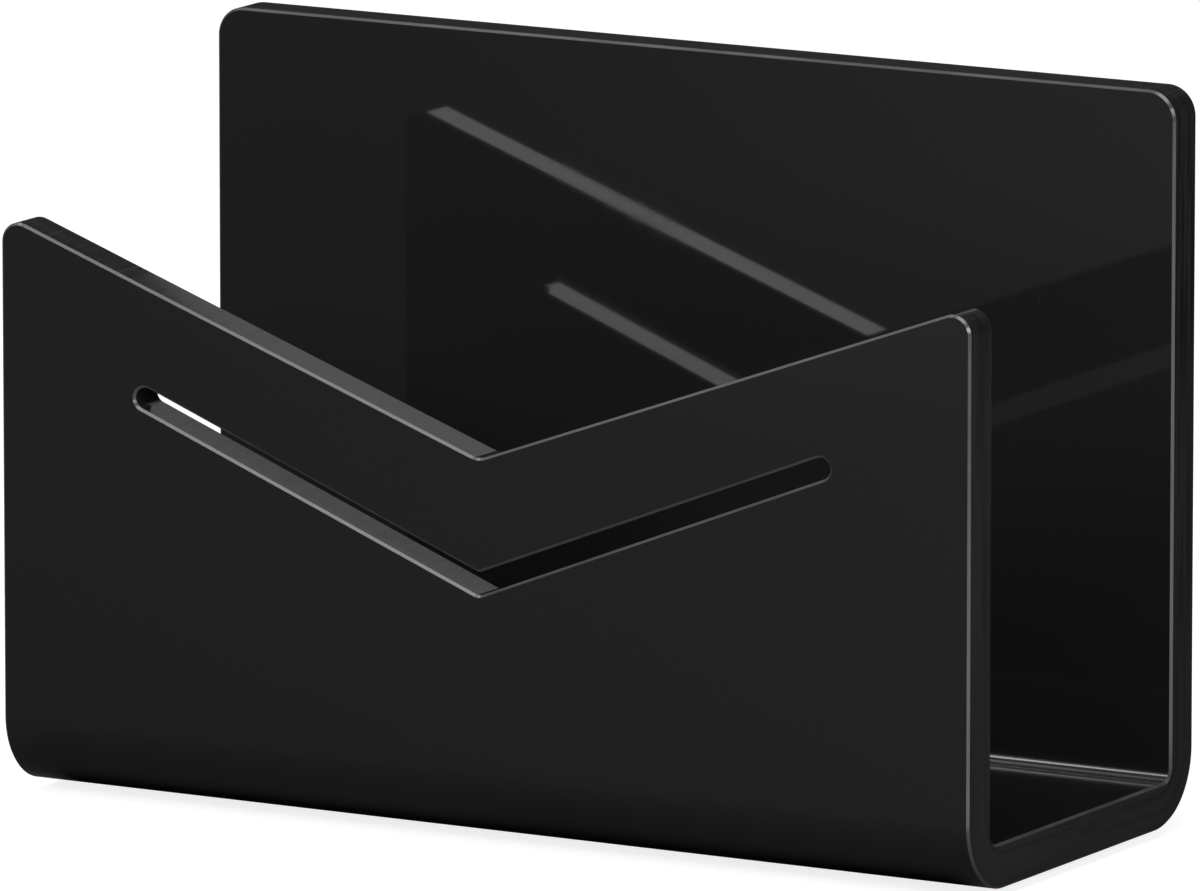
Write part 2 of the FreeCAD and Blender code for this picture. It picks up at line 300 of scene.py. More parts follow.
class ShapeRecipe(Recipe):
    """The steps that the geometry trees share."""

    def __init__(self, name: str, values: Mapping[str, Any]) -> None:
        """Start a geometry tree.

        Args:
            name: The tree's name.
            values: The name and the value of each of its inputs.
        """
        super().__init__(bpy.data.node_groups.new(name, "GeometryNodeTree"))
        self.tree.is_modifier = True
        self.accept(values)
        kind = "NodeSocketGeometry"
        self.tree.interface.new_socket("Geometry", in_out="OUTPUT", socket_type=kind)

    def outline(
        self, corners: Sequence[tuple[Any, Any, Any]], steps: Any, closed: bool = True
    ) -> bpy.types.NodeSocket:
        """Draw an outline whose corners may be rounded.

        Args:
            corners: X, Y and the rounding's radius of each corner, counterclockwise.
            steps: How many steps an arc has.
            closed: Whether the last corner joins the first.

        Returns:
            The outline as a curve.
        """
        number = {"Index": self.out("GeometryNodeInputIndex")}
        places = self.add("GeometryNodeIndexSwitch", number, data_type="VECTOR")
        radii = self.add("GeometryNodeIndexSwitch", number, data_type="FLOAT")
        for switch in (places, radii):
            while len(switch.index_switch_items) < len(corners):
                switch.index_switch_items.new()
        for row, (x, y, radius) in enumerate(corners, start=1):
            self.wire(places, row, self.point(x, y))
            self.wire(radii, row, radius)
        points = {"Count": len(corners), "Position": places.outputs[0]}
        line = self.out("GeometryNodePointsToCurves", {0: self.out("GeometryNodePoints", points)})
        ring = self.out("GeometryNodeSetSplineCyclic", {"Geometry": line, "Cyclic": closed})
        rounding = {"Curve": ring, "Radius": radii.outputs[0], "Count": steps}
        return self.out("GeometryNodeFilletCurve", rounding, mode="POLY")

    def prism(self, outline: Any, start: Any, end: Any, turn: Place) -> bpy.types.NodeSocket:
        """Stretch an outline into a closed solid along its own third axis, and turn it.

        Args:
            outline: The outline, in the XY plane.
            start: Where the solid begins along the third axis.
            end: Where it ends.
            turn: The turn that is then given to it.

        Returns:
            The solid.
        """
        ends = {"Start": self.point(0.0, 0.0, start), "End": self.point(0.0, 0.0, end)}
        path = self.out("GeometryNodeCurvePrimitiveLine", ends)
        swept = {"Curve": path, "Profile Curve": outline, "Fill Caps": True}
        solid = self.out("GeometryNodeCurveToMesh", swept)
        return self.weld(self.out("GeometryNodeTransform", {"Geometry": solid, "Rotation": turn}))

    def weld(self, shape: Any) -> bpy.types.NodeSocket:
        """Join points that lie on one another."""
        inputs = {"Geometry": shape, "Distance": WELD_DISTANCE}
        return self.out("GeometryNodeMergeByDistance", inputs)

    def mark_cut(self, shape: Any, where: Any) -> bpy.types.NodeSocket:
        """Note on a shape's faces which of them are cut edges of the sheet.

        Args:
            shape: The shape.
            where: The faces that are cut edges.

        Returns:
            The shape with the note.
        """
        inputs = {"Geometry": shape, "Name": CUT_MARK, "Value": where}
        settings = {"data_type": "BOOLEAN", "domain": "FACE"}
        return self.out("GeometryNodeStoreNamedAttribute", inputs, **settings)

    def finish(self, shape: Any, finishes: Mapping[str, Any]) -> bpy.types.NodeTree:
        """End the tree: smooth shading, plain geometry, then the finishes.

        Args:
            shape: The finished shape.
            finishes: Each material input's name, with the faces that it goes on.

        Returns:
            The tree.
        """
        smooth = self.out("GeometryNodeSetShadeSmooth", {"Geometry": shape})
        dressed = self.out("GeometryNodeRealizeInstances", {"Geometry": smooth})
        for label, faces in finishes.items():
            inputs = {"Geometry": dressed, "Selection": faces, "Material": self.given[label]}
            dressed = self.out("GeometryNodeSetMaterial", inputs)
        self.add("NodeGroupOutput", {0: dressed})
        return self.tree


def labelled(sizes: Any, *left_out: str) -> dict[str, Any]:
    """Read a dataclass as a tree's inputs.

    Args:
        sizes: The dataclass.
        *left_out: The fields that aren't inputs.

    Returns:
        The value of each other field, under its name in plain words.
    """
    names = [item.name for item in fields(sizes) if item.name not in left_out]
    return {name.replace("_", " ").capitalize(): getattr(sizes, name) for name in names}


def grow(name: str, tree: bpy.types.NodeTree, values: Mapping[str, Any]) -> bpy.types.Object:
    """Grow a piece from a geometry tree, and leave it as a plain mesh.

    Args:
        name: The piece's name.
        tree: The tree that makes it.
        values: The value of each of the tree's inputs.

    Returns:
        The piece, at the origin and without the modifier.
    """
    piece = bpy.data.objects.new(name, bpy.data.meshes.new(name))
    bpy.context.scene.collection.objects.link(piece)
    growth = piece.modifiers.new("growth", "NODES")
    growth.node_group = tree
    for item in tree.interface.items_tree:
        if item.in_out == "INPUT":
            growth[item.identifier] = values[item.name]
    settle(piece)
    while piece.data.materials[0] is None:
        piece.data.materials.pop(index=0)
    return piece


def settle(piece: bpy.types.Object) -> None:
    """Turn what a piece's modifiers make into its plain mesh, and remove them.

    Args:
        piece: The piece, at the origin.
    """
    shaped = piece.evaluated_get(bpy.context.evaluated_depsgraph_get())
    mesh = bpy.data.meshes.new_from_object(shaped)
    piece.modifiers.clear()
    piece.data = mesh
    mesh.name = piece.name


def hand_over(piece: bpy.types.Object, node: str, slot: Slot) -> bpy.types.Object:
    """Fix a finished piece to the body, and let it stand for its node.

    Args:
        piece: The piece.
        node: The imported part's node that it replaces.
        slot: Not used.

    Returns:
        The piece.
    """
    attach(piece, BODY)
    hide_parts(node)
    return piece


class Effect(Recipe):
    """A shader node group that finishes share.

    Each kind of effect has its group's name, the usual values of its inputs besides its place, and
    a rule that makes the nodes inside.
    """

    name: str
    usual: dict[str, Any]

    @classmethod
    def group(cls) -> bpy.types.NodeTree:
        """Give the effect's group, which is built when it is first asked for.

        Returns:
            The group.
        """
        known = bpy.data.node_groups.get(cls.name)
        if known:
            return known
        recipe = cls(bpy.data.node_groups.new(cls.name, "ShaderNodeTree"))
        recipe.accept({"Place": ORIGIN} | cls.usual)
        made = recipe.rule()
        for label in made:
            recipe.tree.interface.new_socket(label, in_out="OUTPUT", socket_type="NodeSocketFloat")
        recipe.add("NodeGroupOutput", made)
        return recipe.tree

    def rule(self) -> dict[str, Any]:
        """Make the nodes inside, and give what goes to each output."""
        raise NotImplementedError


class Hairlines(Effect):
    """Fine handling scratches, all along one direction. The Mask is 1 in a scratch."""

    name = "handling_hairlines"
    usual = {"Turn": ORIGIN, "Length": 9 * MM, "Width": 0.08 * MM, "Floor": 0.7}
    softness: float = 0.05

    def rule(self) -> dict[str, Any]:
        """Stretch a noise along the scratches and keep only its peaks.

        Returns:
            The output's value.
        """
        stretch = self.point(self.given["Length"], self.given["Width"], self.given["Width"])
        inputs = {"Vector": self.given["Place"], "Rotation": self.given["Turn"], "Scale": stretch}
        laid = self.out("ShaderNodeMapping", inputs, vector_type="TEXTURE")
        peaks = self.noise(Vector=laid, Scale=1.0, Detail=1.0) - self.given["Floor"]
        return {"Mask": (peaks / self.softness).at_most(1.0).at_least(0.0)}


class Smudges(Effect):
    """Wiped-over finger marks. The Mask is 1 where the film is thickest."""

    name = "wiped_smudges"
    usual = {"Size": 26 * MM}
    patch_span: Span = (0.5, 0.72)
    grain_share: float = 14.0
    grain_span: Span = (0.35, 0.7)
    grain_floor: float = 0.2

    def rule(self) -> dict[str, Any]:
        """Multiply a broad noise, for the soft patches, by a finer one for the grain inside.

        Returns:
            The output's value.
        """
        place, scale = self.given["Place"], self.size("Size").inverse()
        broad = self.noise(Vector=place, Scale=scale)
        grain = scale * self.grain_share
        fine = self.noise(Vector=place, Scale=grain, Detail=5.0, Distortion=0.6)
        patch = self.ramp(broad, *self.patch_span)
        return {"Mask": patch * self.ramp(fine, *self.grain_span, to_low=self.grain_floor)}


class Dust(Effect):
    """A few specks of dust. The Mask is 1 in a speck."""

    name = "dust_specks"
    usual = {"Spacing": 5 * MM, "Speck": 0.09 * MM, "Share": 0.3}
    soft_share: float = 0.4

    def rule(self) -> dict[str, Any]:
        """Put a speck in some of the cells of a random grid.

        Returns:
            The output's value.
        """
        spacing, radius = self.size("Spacing"), self.size("Speck")
        inputs = {"Vector": self.given["Place"], "Scale": spacing.inverse()}
        cells = self.add("ShaderNodeTexVoronoi", inputs).outputs
        inside = radius - self.quantity(cells["Distance"]) * spacing
        speck = (inside / (radius * self.soft_share)).at_most(1.0).at_least(0.0)
        draw = self.split(cells["Color"])[0]
        return {"Mask": speck * draw.reckon("LESS_THAN", self.given["Share"])}


class Ripple(Effect):
    """A surface that isn't quite flat. The Height is in metres."""

    name = "surface_ripple"
    usual = {"Length": 12 * MM, "Depth": 4 * MICRON}

    def rule(self) -> dict[str, Any]:
        """Scale a smooth noise to the ripple's own length and depth.

        Returns:
            The output's value.
        """
        scale = self.size("Length").inverse()
        noise = self.noise(Vector=self.given["Place"], Scale=scale, Detail=1.0)
        return {"Height": noise * self.given["Depth"]}


class EdgeEffect(Effect):
    """An effect of the cut edges, which differs between the end faces and the rims."""

    end_facing: float = 0.9

    def at_end(self) -> Quantity:
        """Give 1 on the sheet's end faces, and 0 elsewhere."""
        return abs(self.split(self.given["Facing"])[0]).above(self.end_facing)


class CutterLines(EdgeEffect):
    """The fine lines that a cutter leaves through the sheet's thickness.

    The Mask and the Height, in metres, change along the edge and not across it.
    """

    name = "cutter_lines"
    usual = {"Facing": ORIGIN, "Spacing": 0.22 * MM, "Depth": 1.2 * MICRON, "End share": 1.0}
    smooth_level: float = 0.4
    floor_fade: Span = (6 * MM, 11 * MM)
    coarse_scale: float = 0.23
    coarse_share: float = 0.35

    def rule(self) -> dict[str, Any]:
        """Measure along the edge, then draw the lines with a noise of that one measure.

        Returns:
            The outputs' values.
        """
        across_wall = {0: self.given["Facing"], 1: (0.0, 1.0, 0.0)}
        run_way = self.out("ShaderNodeVectorMath", across_wall, operation="CROSS_PRODUCT")
        ways = {0: self.given["Place"], 1: run_way}
        on_wall = self.add("ShaderNodeVectorMath", ways, operation="DOT_PRODUCT").outputs["Value"]
        _, along_floor, height = self.split(self.given["Place"])
        at_end = self.at_end()
        on_floor = self.ramp(height, *self.floor_fade, 1.0, 0.0) * at_end
        run = self.quantity(on_wall) * (-on_floor + 1.0) + along_floor * on_floor
        pitch = run / self.given["Spacing"]
        coarse = self.noise(W=pitch, Scale=self.coarse_scale) * self.coarse_share
        lines = self.noise(W=pitch, Detail=2.0) * (1.0 - self.coarse_share) + coarse
        shown = at_end * (self.size("End share") - 1.0) + 1.0
        lines = (lines - self.smooth_level) * shown + self.smooth_level
        return {"Mask": lines, "Height": lines * self.given["Depth"]}


class BuffingLines(EdgeEffect):
    """The faint lines that a buffing wheel leaves along an edge.

    The Mask changes quickly across the sheet's thickness and slowly along the edge, and follows the
    section round its bends.
    """

    name = "buffing_lines"
    usual = {
        "Facing": ORIGIN,
        "Bend axis": ORIGIN,
        "Side share": 0.5,
        "Spacing": 0.9 * MM,
        "Length": 35 * MM,
    }
    line_span: Span = (0.36, 0.64)
    wall_shift: float = 3.0

    def rule(self) -> dict[str, Any]:
        """Measure across and along the edge, then stretch a noise along it.

        Returns:
            The output's value.
        """
        along_x, along_y, height = self.split(self.given["Place"])
        _, axis_y, axis_z = self.split(self.given["Bend axis"])
        off_middle = abs(along_y)
        out = (off_middle - axis_y).at_least(0.0)
        down = (axis_z - height).at_least(0.0)
        from_axis = (out * out + down * down).reckon("SQRT")
        at_end = self.at_end()
        elsewhere = -at_end + 1.0
        across = from_axis * at_end + along_y * elsewhere
        along = (height - off_middle) * at_end + along_x * elsewhere
        shift = along_y.reckon("SIGN") * self.wall_shift
        laid = self.point(across / self.given["Spacing"], along / self.given["Length"], shift)
        noise = self.noise(Vector=laid, Scale=1.0, Detail=2.0)
        shown = elsewhere * (self.size("Side share") - 1.0) + 1.0
        return {"Mask": self.ramp(noise, *self.line_span) * shown}


class Paint(Recipe):
    """A material under way: its shader, its coordinates and its effects."""

    def __init__(self, name: str, **constants: Any) -> None:
        """Start a material.

        Args:
            name: The material's name.
            **constants: Values that are the same all over, set on the shader's own sockets. A
                name's underscores stand for spaces.
        """
        self.material = bpy.data.materials.new(name)
        self.material.use_nodes = True
        super().__init__(self.material.node_tree)
        self.tree.nodes.clear()
        self.shader = self.add("ShaderNodeBsdfPrincipled")
        self.dress(**constants)
        self.add("ShaderNodeOutputMaterial", {"Surface": self.shader.outputs[0]})
        self.place = self.add("ShaderNodeTexCoord").outputs["Object"]

    def dress(self, **values: Any) -> None:
        """Set or link the shader's inputs. A name's underscores stand for spaces."""
        for label, value in values.items():
            self.wire(self.shader, label.replace("_", " "), value)

    def use(self, effect: type[Effect], **values: Any) -> dict[str, Quantity]:
        """Place a shared effect.

        Args:
            effect: The kind of effect.
            **values: Its own values here, by input. A name's underscores stand for spaces.

        Returns:
            Its outputs by name.
        """
        inputs = {label.replace("_", " "): value for label, value in values.items()}
        inputs["Place"] = self.place
        node = self.add("ShaderNodeGroup", inputs, node_tree=effect.group())
        return {item.name: self.quantity(item) for item in node.outputs}

    def relief(self, height: Any) -> None:
        """Turn a height in metres into the shader's normal."""
        inputs = {"Height": height, "Distance": 1.0, "Strength": 1.0}
        self.dress(Normal=self.out("ShaderNodeBump", inputs))


@dataclass(frozen=True)
class CastGloss:
    """The sheet's broad faces: cast acrylic as it comes, mirror-smooth and black right through."""

    colour: Colour = (0.0087, 0.0087, 0.0092)
    dust_colour: Colour = (0.16, 0.16, 0.155)
    dust_cover: float = 0.5
    roughness: float = 0.035
    smudge_roughness: float = 0.035
    scratch_roughness: float = 0.05
    scratch_depth: float = 0.02 * MICRON
    dust_roughness: float = 0.4
    bend_roughness: float = 0.08
    bend_ripple: float = 2.2 * MICRON
    bend_fade: Span = (9.6 * MM, 25.6 * MM)

    def material(self) -> bpy.types.Material:
        """Make the finish: gloss, faint smudges, hairlines, dust, and ripples where it was bent.

        Returns:
            The material.
        """
        paint = Paint("cast_gloss_face", IOR=ACRYLIC_REFRACTION)
        film = paint.use(Smudges)["Mask"]
        upright = paint.use(Hairlines, Turn=(0.3, 1.1, 0.2), Floor=0.72)["Mask"]
        slanted = paint.use(Hairlines, Turn=(-0.2, -0.5, 0.4), Floor=0.74, Length=14 * MM)["Mask"]
        specks = paint.use(Dust, Share=0.22)["Mask"]
        scratches = upright.at_least(slanted)
        near_bend = paint.ramp(paint.split(paint.place)[2], *self.bend_fade, 1.0, 0.0)
        rough = film * self.smudge_roughness + scratches * self.scratch_roughness
        rough = rough + specks * self.dust_roughness + near_bend * self.bend_roughness
        tint = paint.blend(specks * self.dust_cover, self.colour, self.dust_colour)
        paint.dress(Roughness=rough + self.roughness, Base_Color=tint)
        bent = paint.use(Ripple, Length=7 * MM, Depth=self.bend_ripple)["Height"] * near_bend
        cast = paint.use(Ripple, Length=45 * MM, Depth=9 * MICRON)["Height"]
        paint.relief(bent + cast + scratches * (-self.scratch_depth))
        return paint.material


@dataclass(frozen=True)
class PolishedEdge:
    """The cut edges: machined, then polished, with the cutter's lines still faintly there."""

    bend_axis: Place
    colour: Colour = (0.0075, 0.0075, 0.008)
    streak_colour: Colour = (0.0155, 0.0155, 0.016)
    streak_span: Span = (0.38, 0.64)
    streak_cover: float = 0.6
    buffed_cover: float = 0.85
    roughness: float = 0.07
    streak_roughness: float = 0.16
    buffed_roughness: float = 0.08
    smudge_roughness: float = 0.06
    dust_roughness: float = 0.3
    line_depth: float = 1.4 * MICRON
    end_line_share: float = 0.2

    def material(self) -> bpy.types.Material:
        """Make the finish: a softer gloss, streaked through the sheet's thickness.

        Returns:
            The material.
        """
        paint = Paint("polished_edge", IOR=ACRYLIC_REFRACTION)
        facing = paint.add("ShaderNodeNewGeometry").outputs["True Normal"]
        shown = {"Depth": self.line_depth, "End_share": self.end_line_share}
        lines = paint.use(CutterLines, Facing=facing, **shown)
        film = paint.use(Smudges, Size=9 * MM)["Mask"]
        specks = paint.use(Dust, Spacing=4 * MM, Share=0.08)["Mask"]
        streak = paint.ramp(lines["Mask"], *self.streak_span)
        buffed = paint.use(BuffingLines, Facing=facing, Bend_axis=self.bend_axis)["Mask"]
        rough = streak * self.streak_roughness + film * self.smudge_roughness
        rough = rough + specks * self.dust_roughness + self.roughness
        shade = streak * self.streak_cover + buffed * self.buffed_cover + specks
        tint = paint.blend(shade.at_most(1.0), self.colour, self.streak_colour)
        paint.dress(Roughness=rough + buffed * self.buffed_roughness, Base_Color=tint)
        melt = paint.use(Ripple, Length=3.5 * MM, Depth=3 * MICRON)["Height"]
        paint.relief(lines["Height"] + melt)
        return paint.material


@dataclass(frozen=True)
class ScrapedBevelWithPaintedSheen:
    """The fine bevel along every cut edge: scraped, so that it scatters light, and also painted paler
    as a sheen, so that it reads as a light line.
    """

    # Paler than the black sheet, partly for the scraped finish and partly as painted sheen, so that
    # the bevel shows as a light line however the lamps fall.
    colour: Colour = (0.052, 0.052, 0.054)
    spread: float = 0.28
    spread_span: Span = (0.3, 0.7)
    roughness: float = 0.15
    pale_roughness: float = 0.08
    grain_size: float = 0.12 * MM
    grain_depth: float = 1.5 * MICRON
    drift_size: float = 11 * MM

    def material(self) -> bpy.types.Material:
        """Make the finish: a satin line, pale partly from its scraping and partly from painted sheen,
        with a fine grain that changes slowly along it.

        Returns:
            The material.
        """
        paint = Paint("scraped_bevel_painted_sheen", IOR=ACRYLIC_REFRACTION)
        grain = paint.noise(Vector=paint.place, Scale=1.0 / self.grain_size, Detail=3.0)
        drift = paint.noise(Vector=paint.place, Scale=1.0 / self.drift_size, Detail=2.0)
        share = paint.ramp(grain * 0.5 + drift * 0.5, *self.spread_span)
        ends = (1.0 - self.spread, 1.0 + self.spread)
        tones = [tuple(end * part for part in self.colour) for end in ends]
        rough = share * self.pale_roughness + self.roughness
        paint.dress(Roughness=rough, Base_Color=paint.blend(share, *tones))
        paint.relief(grain * self.grain_depth)
        return paint.material


@dataclass(frozen=True)
class ClearRubber:
    """The feet: soft clear polyurethane, a little hazy, with a moulded skin."""

    colour: Colour = (0.93, 0.94, 0.92)
    dirt_colour: Colour = (0.25, 0.24, 0.22)
    refraction: float = 1.49
    roughness: float = 0.16
    smudge_roughness: float = 0.12
    sole_roughness: float = 0.22
    sole_height: float = 0.25 * MM

    def material(self) -> bpy.types.Material:
        """Make the finish: clear, hazy in patches, and scuffed on the sole.

        Returns:
            The material.
        """
        paint = Paint("clear_rubber", IOR=self.refraction, Transmission_Weight=1.0)
        film = paint.use(Smudges, Size=3 * MM)["Mask"]
        sole = paint.ramp(paint.split(paint.place)[2], 0.0, self.sole_height, 1.0, 0.0)
        specks = paint.use(Dust, Spacing=0.7 * MM, Speck=0.05 * MM, Share=0.35)["Mask"]
        tint = paint.blend((specks * sole).at_most(1.0), self.colour, self.dirt_colour)
        rough = film * self.smudge_roughness + sole * self.sole_roughness + self.roughness
        paint.dress(Roughness=rough, Base_Color=tint)
        paint.relief(paint.use(Ripple, Length=0.5 * MM, Depth=3 * MICRON)["Height"])
        return paint.material


@dataclass(frozen=True)
class AdhesiveFilm:
    """The adhesive under each foot: a clear film, wetted out but for a few trapped bubbles."""

    colour: Colour = (0.62, 0.62, 0.6)
    bubble_colour: Colour = (0.9, 0.9, 0.89)
    refraction: float = 1.47
    roughness: float = 0.42
    bubble_gloss: float = 0.2
    bubble_height: float = 20 * MICRON

    def material(self) -> bpy.types.Material:
        """Make the finish: dull, with small pale bubbles.

        Returns:
            The material.
        """
        paint = Paint("adhesive_film", IOR=self.refraction)
        bubbles = paint.use(Dust, Spacing=0.9 * MM, Speck=0.2 * MM, Share=0.5)["Mask"]
        tint = paint.blend(bubbles, self.colour, self.bubble_colour)
        paint.dress(Roughness=bubbles * (-self.bubble_gloss) + self.roughness, Base_Color=tint)
        paint.relief(bubbles * self.bubble_height)
        return paint.material


class SheetRule(ShapeRecipe):
    """The rule of the bent sheet, from the sizes that are the tree's inputs."""

    end_facing: float = 0.5

    def blank(self) -> bpy.types.NodeSocket:
        """Sweep the bent section along the holder, with both walls a little too high.

        Returns:
            The bent blank.
        """
        side, face = self.size("Width") / 2.0, self.size("Depth") / 2.0
        wall = self.size("Thickness")
        inside = face - wall
        front_top = self.size("Front corner height") + self.size("Overrun")
        back_top = self.size("Back wall height") + self.size("Overrun")
        outer, inner = self.size("Outer bend"), self.size("Inner bend")
        corners = (
            (-face, front_top, 0.0),
            (-face, 0.0, outer),
            (face, 0.0, outer),
            (face, back_top, 0.0),
            (inside, back_top, 0.0),
            (inside, wall, inner),
            (-inside, wall, inner),
            (-inside, front_top, 0.0),
        )
        section = self.outline(corners, self.given["Bend steps"])
        swept = self.prism(section, -side, side, (QUARTER_TURN, 0.0, QUARTER_TURN))
        facing = self.split(self.out("GeometryNodeInputNormal"))[0]
        return self.mark_cut(swept, abs(facing).above(self.end_facing))

    def cutter(self, wall: Wall, outline: Any) -> bpy.types.NodeSocket:
        """Stretch an outline through one wall, past both of its faces.

        Args:
            wall: The wall that is cut.
            outline: What is cut away, seen from the front.

        Returns:
            The cutter.
        """
        face, overrun = self.size("Depth") / 2.0, self.size("Overrun")
        side = -float(wall.value)
        near, far = (face - self.size("Thickness") - overrun) * side, (face + overrun) * side
        ends = (near, far) if wall is Wall.FRONT else (far, near)
        return self.mark_cut(self.prism(outline, *ends, (QUARTER_TURN, 0.0, 0.0)), True)

    def above_rim(self, wall: Wall) -> bpy.types.NodeSocket:
        """Outline what lies above a wall's rim: a wide V in front, a straight rim behind.

        Args:
            wall: The wall whose rim it is.

        Returns:
            The outline, which leaves each corner of the wall rounded.
        """
        side = self.size("Width") / 2.0
        clear = side + self.size("Overrun")
        if wall is Wall.FRONT:
            corner = self.size("Front corner height")
            radius = self.size("Front corner radius")
            bottom = self.size("Rim bottom height")
            slope = ((corner - bottom) / side).reckon("ARCTANGENT")
            middle = ((0.0, bottom, self.size("Rim bottom radius")),)
        else:
            corner = self.size("Back wall height")
            radius = self.size("Back corner radius")
            slope = self.quantity(0.0)
            middle = ()
        half_angle = (-slope + QUARTER_TURN) / 2.0
        start = corner - radius / half_angle.reckon("TANGENT")
        top = corner + self.size("Overrun") * 2.0
        corners = (
            (-clear, start, 0.0),
            (-side, start, 0.0),
            (-side, corner, radius),
            *middle,
            (side, corner, radius),
            (side, start, 0.0),
            (clear, start, 0.0),
            (clear, top, 0.0),
            (-clear, top, 0.0),
        )
        return self.outline(corners, self.given["Corner steps"])

    def slot_shape(self) -> bpy.types.NodeSocket:
        """Outline the slot: two arms of one width that meet in the middle, with round ends.

        Returns:
            The outline.
        """
        half, rise = self.size("Slot width") / 2.0, self.size("Slot rise")
        run, middle = self.size("Slot reach") - half, self.size("Slot height")
        arm = (run * run + rise * rise).reckon("SQRT")
        along, up = run / arm, rise / arm
        spread = half * arm / run
        end = middle + rise
        lower_x, lower_z = run + (along + up) * half, end + (up - along) * half
        upper_x, upper_z = run + (along - up) * half, end + (up + along) * half
        corners = (
            (0.0, middle - spread, self.size("Slot lower radius")),
            (lower_x, lower_z, half),
            (upper_x, upper_z, half),
            (0.0, middle + spread, self.size("Slot upper radius")),
            (-upper_x, upper_z, half),
            (-lower_x, lower_z, half),
        )
        return self.outline(corners, self.given["Corner steps"])

    def write(self) -> bpy.types.NodeTree:
        """Write the whole rule: bend the blank, trim both rims, cut the slot, dress the faces.

        Returns:
            The geometry tree.
        """
        trim = self.add("GeometryNodeMeshBoolean", {0: self.blank()}, operation="DIFFERENCE")
        trim.solver = "EXACT"
        outlines = (
            (Wall.FRONT, self.above_rim(Wall.FRONT)),
            (Wall.FRONT, self.slot_shape()),
            (Wall.BACK, self.above_rim(Wall.BACK)),
        )
        for wall, outline in outlines:
            self.wire(trim, 1, self.cutter(wall, outline))
        lift = self.point(0.0, 0.0, self.size("Underside"))
        inputs = {"Geometry": self.weld(trim.outputs[0]), "Translation": lift}
        stood = self.out("GeometryNodeTransform", inputs)
        cut = self.out("GeometryNodeInputNamedAttribute", {"Name": CUT_MARK}, data_type="BOOLEAN")
        return self.finish(stood, {"Face finish": True, "Edge finish": cut})


@dataclass
class BentSheet:
    """The holder itself: one acrylic sheet, cut to its outline and bent along two lines.

    Heights are measured from the sheet's underside.
    """

    width: float
    depth: float
    back_wall_height: float
    underside: float
    thickness: float = 7.5 * MM
    outer_bend: float = 12.2 * MM
    inner_bend: float = 2.2 * MM
    front_corner_height: float = 95.7 * MM
    rim_bottom_height: float = 63.1 * MM
    rim_bottom_radius: float = 3.4 * MM
    front_corner_radius: float = 3.3 * MM
    back_corner_radius: float = 4.9 * MM
    slot_height: float = 42.65 * MM
    slot_reach: float = 64.6 * MM
    slot_rise: float = 24.7 * MM
    slot_width: float = 3.6 * MM
    slot_lower_radius: float = 1.8 * MM
    slot_upper_radius: float = 1.4 * MM
    overrun: float = 5.0 * MM
    bend_steps: int = 28
    corner_steps: int = 14
    bevel: float = 0.4 * MM
    bevel_angle: float = math.radians(40)

    @classmethod
    def on_frame(cls) -> "BentSheet":
        """Take the sheet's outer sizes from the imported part.

        Returns:
            The sheet.
        """
        low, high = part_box(SHEET_NODE)
        width, depth, height = high - low
        return cls(width=width, depth=depth, back_wall_height=height, underside=low.z)

    def scrape_edges(self, piece: bpy.types.Object, finish: bpy.types.Material) -> None:
        """Cut a narrow flat bevel along every cut edge, with a crisp border on both sides.

        Args:
            piece: The sheet, still with sharp edges.
            finish: The bevel's own finish.
        """
        piece.data.materials.append(finish)
        number = len(piece.data.materials) - 1
        scraper = piece.modifiers.new("scraper", "BEVEL")
        scraper.width = self.bevel
        scraper.segments = 1
        scraper.limit_method = "ANGLE"
        scraper.angle_limit = self.bevel_angle
        scraper.use_clamp_overlap = False
        scraper.material = number
        settle(piece)
        work = bmesh.new()
        work.from_mesh(piece.data)
        for edge in work.edges:
            edge.smooth = sum(face.material_index == number for face in edge.link_faces) != 1
        work.to_mesh(piece.data)
        work.free()

    def build(self) -> bpy.types.Object:
        """Grow the sheet, bevel its cut edges and give each kind of surface its finish.

        Returns:
            The piece.
        """
        bend_axis = (0.0, self.depth / 2.0 - self.outer_bend, self.underside + self.outer_bend)
        values = labelled(self, "bevel", "bevel_angle")
        values["Face finish"] = CastGloss().material()
        values["Edge finish"] = PolishedEdge(bend_axis).material()
        piece = grow("bent_sheet", SheetRule("bent_sheet", values).write(), values)
        self.scrape_edges(piece, ScrapedBevelWithPaintedSheen().material())
        shading = piece.modifiers.new("flat_faces_stay_flat", "WEIGHTED_NORMAL")
        shading.keep_sharp = True
        return hand_over(piece, SHEET_NODE, Slot.BLACK_ACRYLIC)


class PadRule(ShapeRecipe):
    """The rule that every round pad follows."""

    def write(self) -> bpy.types.NodeTree:
        """Write the rule: a section, turned about its axis.

        Returns:
            The geometry tree.
        """
        radius, height = self.size("Radius"), self.size("Height")
        corners = (
            (-radius, -height, 0.0),
            (0.0, -height, self.size("Upper rounding")),
            (0.0, 0.0, self.size("Lower rounding")),
            (-radius, 0.0, 0.0),
        )
        section = self.outline(corners, self.given["Rounding steps"], closed=False)
        circle = {"Resolution": self.given["Sides"], "Radius": radius}
        ring = self.out("GeometryNodeCurvePrimitiveCircle", circle, mode="RADIUS")
        upright = self.out("GeometryNodeSetCurveNormal", {"Curve": ring}, mode="Z_UP")
        turned = self.out("GeometryNodeCurveToMesh", {"Curve": upright, "Profile Curve": section})
        inputs = {"Geometry": self.weld(turned), "Translation": self.given["Centre"]}
        return self.finish(self.out("GeometryNodeTransform", inputs), {"Finish": True})


